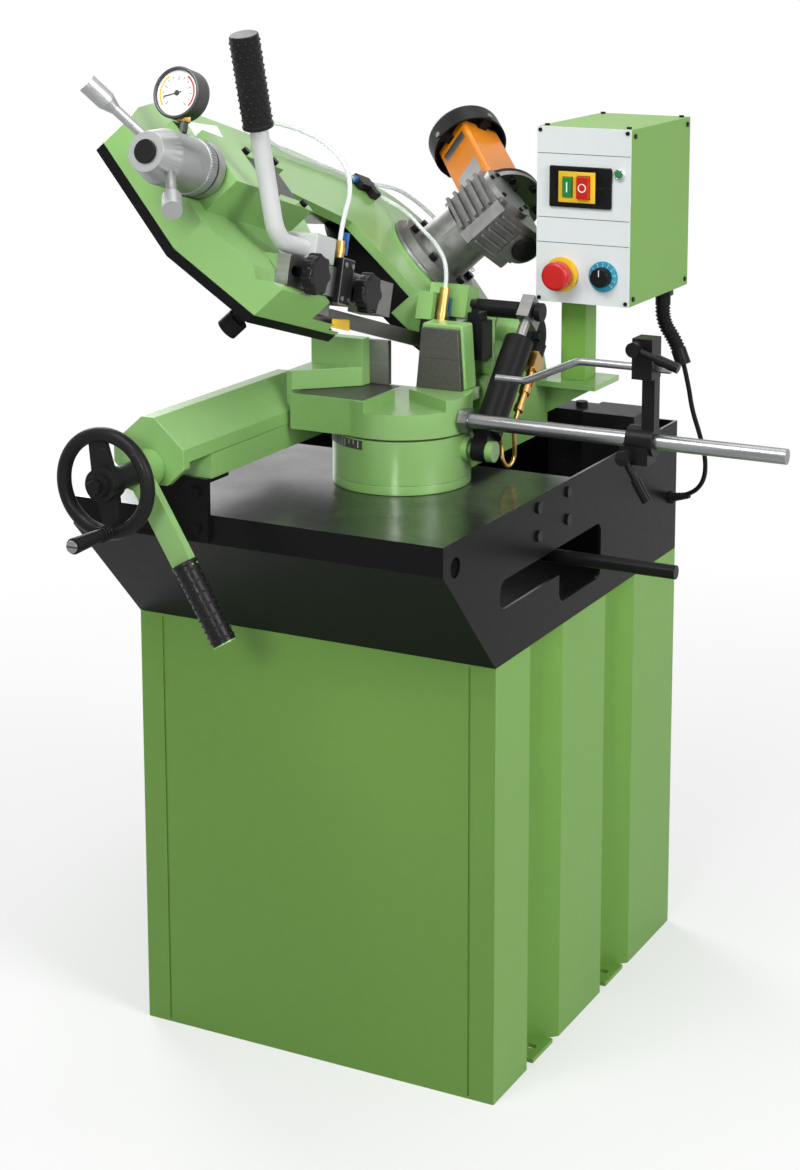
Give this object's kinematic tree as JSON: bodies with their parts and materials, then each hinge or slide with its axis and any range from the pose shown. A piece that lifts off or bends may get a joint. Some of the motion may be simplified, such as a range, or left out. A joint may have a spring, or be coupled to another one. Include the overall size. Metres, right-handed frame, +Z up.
{
  "type": "metal cutting band saw",
  "caption": "Floor-standing swivel band saw for metal: cabinet, chip tray, round table, screw vise, length stop, tilting bow with band wheels, gear motor, feed cylinder and control box.",
  "frame": {"origin": "on the floor under the middle of the cabinet", "axes": "+Z up, -Y towards the handwheel at the front, +X towards the length stop on the right"},
  "size_m": [0.881, 1.0724, 1.4169],
  "materials": {
    "green_casting": "hammered satin enamel",
    "green_sheet": "satin powder coat",
    "black_sheet": "satin powder coat",
    "grey_sheet": "fine satin",
    "steel": "machined",
    "black_steel": "black oxide",
    "chrome": "polished",
    "aluminium": "die cast",
    "iron": "turned",
    "orange_enamel": "gloss",
    "black_plastic": "fine grain",
    "grip_rubber": "bumped",
    "handle_paint": "satin",
    "brass": "turned",
    "green_plastic": "gloss",
    "red_plastic": "gloss",
    "blue_plastic": "gloss",
    "cable_rubber": "smooth",
    "clear_hose": "clear"
  },
  "bodies": {
    "base": {"cabinet": "green_sheet", "chip_tray": "black_sheet", "pivot_base": "green_casting", "table": "green_casting", "vise_rail": "green_casting", "vise_bracket": "black_sheet", "fixed_jaw": "green_casting", "fixed_jaw_plate": "steel", "left_jaw": "green_casting", "stop_rod": "steel", "coolant_pump": "black_plastic", "supply_cable": "cable_rubber"},
    "vise": {"vise_beam": "green_casting", "vise_jaw_plate": "steel"},
    "handwheel": {"handwheel": "black_steel"},
    "crank_handle": {"crank_handle": "black_plastic"},
    "clamp_lever": {"clamp_lever": "green_casting"},
    "lock_lever": {"lock_lever": "black_steel"},
    "stop_arm": {"stop_arm": "black_steel"},
    "stop_finger": {"stop_finger": "steel"},
    "upper_clamp_lever": {"upper_clamp_lever": "black_steel"},
    "lower_clamp_lever": {"lower_clamp_lever": "black_steel"},
    "swivel": {"arm_support": "green_casting", "hinge_shaft": "steel", "limit_switch": "black_plastic", "control_box": "green_sheet", "control_panel": "grey_sheet", "conduit": "black_plastic"},
    "start_button": {"start_button": "green_plastic"},
    "stop_button": {"stop_button": "red_plastic"},
    "emergency_button": {"emergency_button": "red_plastic"},
    "speed_knob": {"speed_knob": "black_plastic"},
    "cylinder": {"feed_cylinder": "black_steel", "feed_valve": "brass"},
    "feed_knob": {"feed_knob": "black_plastic"},
    "piston_rod": {"piston_rod": "chrome"},
    "bow": {"bow_frame": "green_casting", "wheel_cover": "black_sheet", "blade": "steel", "gearbox": "aluminium", "motor_body": "orange_enamel", "fan_cowl": "black_sheet", "cylinder_pin": "steel", "pressure_gauge": "chrome", "handle_tube": "handle_paint", "handle_grip": "grip_rubber", "rear_guide": "black_steel", "rear_valve": "brass", "coolant_hoses": "clear_hose"},
    "tension_slide": {"tension_slide": "steel"},
    "idler_wheel": {"idler_wheel": "iron"},
    "tension_knob": {"tension_knob": "aluminium"},
    "drive_wheel": {"drive_wheel": "iron"},
    "motor_rotor": {"motor_rotor": "steel"},
    "guide": {"guide_bar": "steel", "front_valve": "brass"},
    "guide_knob_front": {"guide_knob_front": "black_plastic"},
    "guide_knob_rear": {"guide_knob_rear": "black_plastic"},
    "front_valve_handle": {"front_valve_handle": "blue_plastic"},
    "rear_valve_handle": {"rear_valve_handle": "blue_plastic"}
  },
  "joints": [
    {"name": "vise_slide", "type": "slide", "parent": "base", "child": "vise", "axis": [0, -1, 0], "range_m": [0, 0.15]},
    {"name": "handwheel_turn", "type": "hinge", "parent": "vise", "child": "handwheel", "pos_m": [-0.107, -0.62, 0.868], "axis": [0, -1, 0], "range_deg": [0, 5400]},
    {"name": "crank_spin", "type": "hinge", "parent": "handwheel", "child": "crank_handle", "pos_m": [-0.09612, -0.7, 0.81205], "axis": [0, -1, 0], "continuous": true},
    {"name": "clamp_lever_turn", "type": "hinge", "parent": "vise", "child": "clamp_lever", "pos_m": [-0.107, -0.543, 0.868], "axis": [0, -1, 0], "range_deg": [-35, 35]},
    {"name": "lock_lever_turn", "type": "hinge", "parent": "base", "child": "lock_lever", "pos_m": [0.12, -0.092, 0.69], "axis": [0, 0, 1], "range_deg": [0, 30]},
    {"name": "stop_arm_slide", "type": "slide", "parent": "base", "child": "stop_arm", "axis": [1, 0, 0], "range_m": [-0.1, 0.15]},
    {"name": "stop_finger_slide", "type": "slide", "parent": "stop_arm", "child": "stop_finger", "axis": [1, 0, 0], "range_m": [-0.015, 0.06]},
    {"name": "upper_clamp_turn", "type": "hinge", "parent": "stop_arm", "child": "upper_clamp_lever", "pos_m": [0.418, -0.218, 1.012], "axis": [0, 1, 0], "range_deg": [-40, 40]},
    {"name": "lower_clamp_turn", "type": "hinge", "parent": "stop_arm", "child": "lower_clamp_lever", "pos_m": [0.406, -0.218, 0.872], "axis": [0, 1, 0], "range_deg": [-40, 40]},
    {"name": "swivel_turn", "type": "hinge", "parent": "base", "child": "swivel", "pos_m": [0.07, -0.188, 0.84], "axis": [0, 0, 1], "range_deg": [0, 45]},
    {"name": "start_push", "type": "slide", "parent": "swivel", "child": "start_button", "axis": [0, 1, 0], "range_m": [0, 0.004], "stiffness_N_per_m": 300},
    {"name": "stop_push", "type": "slide", "parent": "swivel", "child": "stop_button", "axis": [0, 1, 0], "range_m": [0, 0.004], "stiffness_N_per_m": 300},
    {"name": "emergency_push", "type": "slide", "parent": "swivel", "child": "emergency_button", "axis": [0, 1, 0], "range_m": [0, 0.005], "stiffness_N_per_m": 600},
    {"name": "speed_turn", "type": "hinge", "parent": "swivel", "child": "speed_knob", "pos_m": [0.259, 0.05, 1.052], "axis": [0, 1, 0], "range_deg": [-140, 140]},
    {"name": "cylinder_swing", "type": "hinge", "parent": "swivel", "child": "cylinder", "pos_m": [0.186, -0.183, 0.848], "axis": [1, 0, 0], "range_deg": [-1, 1.2]},
    {"name": "feed_knob_turn", "type": "hinge", "parent": "cylinder", "child": "feed_knob", "pos_m": [0.2, -0.03572, 0.95756], "axis": [0, 0.6697, 0.7426], "range_deg": [0, 270]},
    {"name": "piston_slide", "type": "slide", "parent": "cylinder", "child": "piston_rod", "axis": [0, 0.6697, 0.7426], "range_m": [-0.0285, 0.0445]},
    {"name": "bow_tilt", "type": "hinge", "parent": "swivel", "child": "bow", "pos_m": [0.07, 0.052, 0.957], "axis": [-1, 0, 0], "range_deg": [-16.2, 25]},
    {"name": "tension_travel", "type": "slide", "parent": "bow", "child": "tension_slide", "axis": [0, 0.9603, -0.279], "range_m": [0, 0.012]},
    {"name": "idler_spin", "type": "hinge", "parent": "tension_slide", "child": "idler_wheel", "pos_m": [-0.02602, -0.46934, 1.17514], "axis": [0.7071, 0.1973, 0.679], "continuous": true},
    {"name": "tension_turn", "type": "hinge", "parent": "bow", "child": "tension_knob", "pos_m": [0.01499, -0.58322, 1.25093], "axis": [0, -0.9603, 0.279], "range_deg": [0, 1080]},
    {"name": "drive_spin", "type": "hinge", "parent": "bow", "child": "drive_wheel", "pos_m": [-0.02602, 0.02809, 1.03062], "axis": [0.7071, 0.1973, 0.679], "continuous": true},
    {"name": "rotor_spin", "type": "hinge", "parent": "bow", "child": "motor_rotor", "pos_m": [0.09695, 0.09691, 1.10641], "axis": [-0.6355, 0.5983, 0.488], "continuous": true},
    {"name": "guide_slide", "type": "slide", "parent": "bow", "child": "guide", "axis": [0, -0.9603, 0.279], "range_m": [-0.0215, 0.0035]},
    {"name": "guide_knob_front_turn", "type": "hinge", "parent": "bow", "child": "guide_knob_front", "pos_m": [0.108, -0.49547, 1.12282], "axis": [1, 0, 0], "range_deg": [-90, 90]},
    {"name": "guide_knob_rear_turn", "type": "hinge", "parent": "guide", "child": "guide_knob_rear", "pos_m": [0.108, -0.36613, 1.08056], "axis": [1, 0, 0], "range_deg": [-90, 90]},
    {"name": "front_valve_turn", "type": "hinge", "parent": "guide", "child": "front_valve_handle", "pos_m": [0.091, -0.39363, 1.13645], "axis": [0, 0.9603, -0.279], "range_deg": [0, 90]},
    {"name": "rear_valve_turn", "type": "hinge", "parent": "bow", "child": "rear_valve_handle", "pos_m": [0.084, -0.09749, 1.00876], "axis": [0, 0.9603, -0.279], "range_deg": [0, 90]}
  ],
  "couplings": [
    {"joint": "vise_slide", "follows": "handwheel_turn", "m_per_rad": 0.0015915},
    {"joint": "cylinder_swing", "follows": "bow_tilt", "ratio": 0.04},
    {"joint": "piston_slide", "follows": "bow_tilt", "m_per_rad": 0.0997},
    {"joint": "tension_travel", "follows": "tension_turn", "m_per_rad": 0.00063662},
    {"joint": "drive_spin", "follows": "rotor_spin", "ratio": 0.033333},
    {"joint": "idler_spin", "follows": "rotor_spin", "ratio": 0.033333}
  ]
}
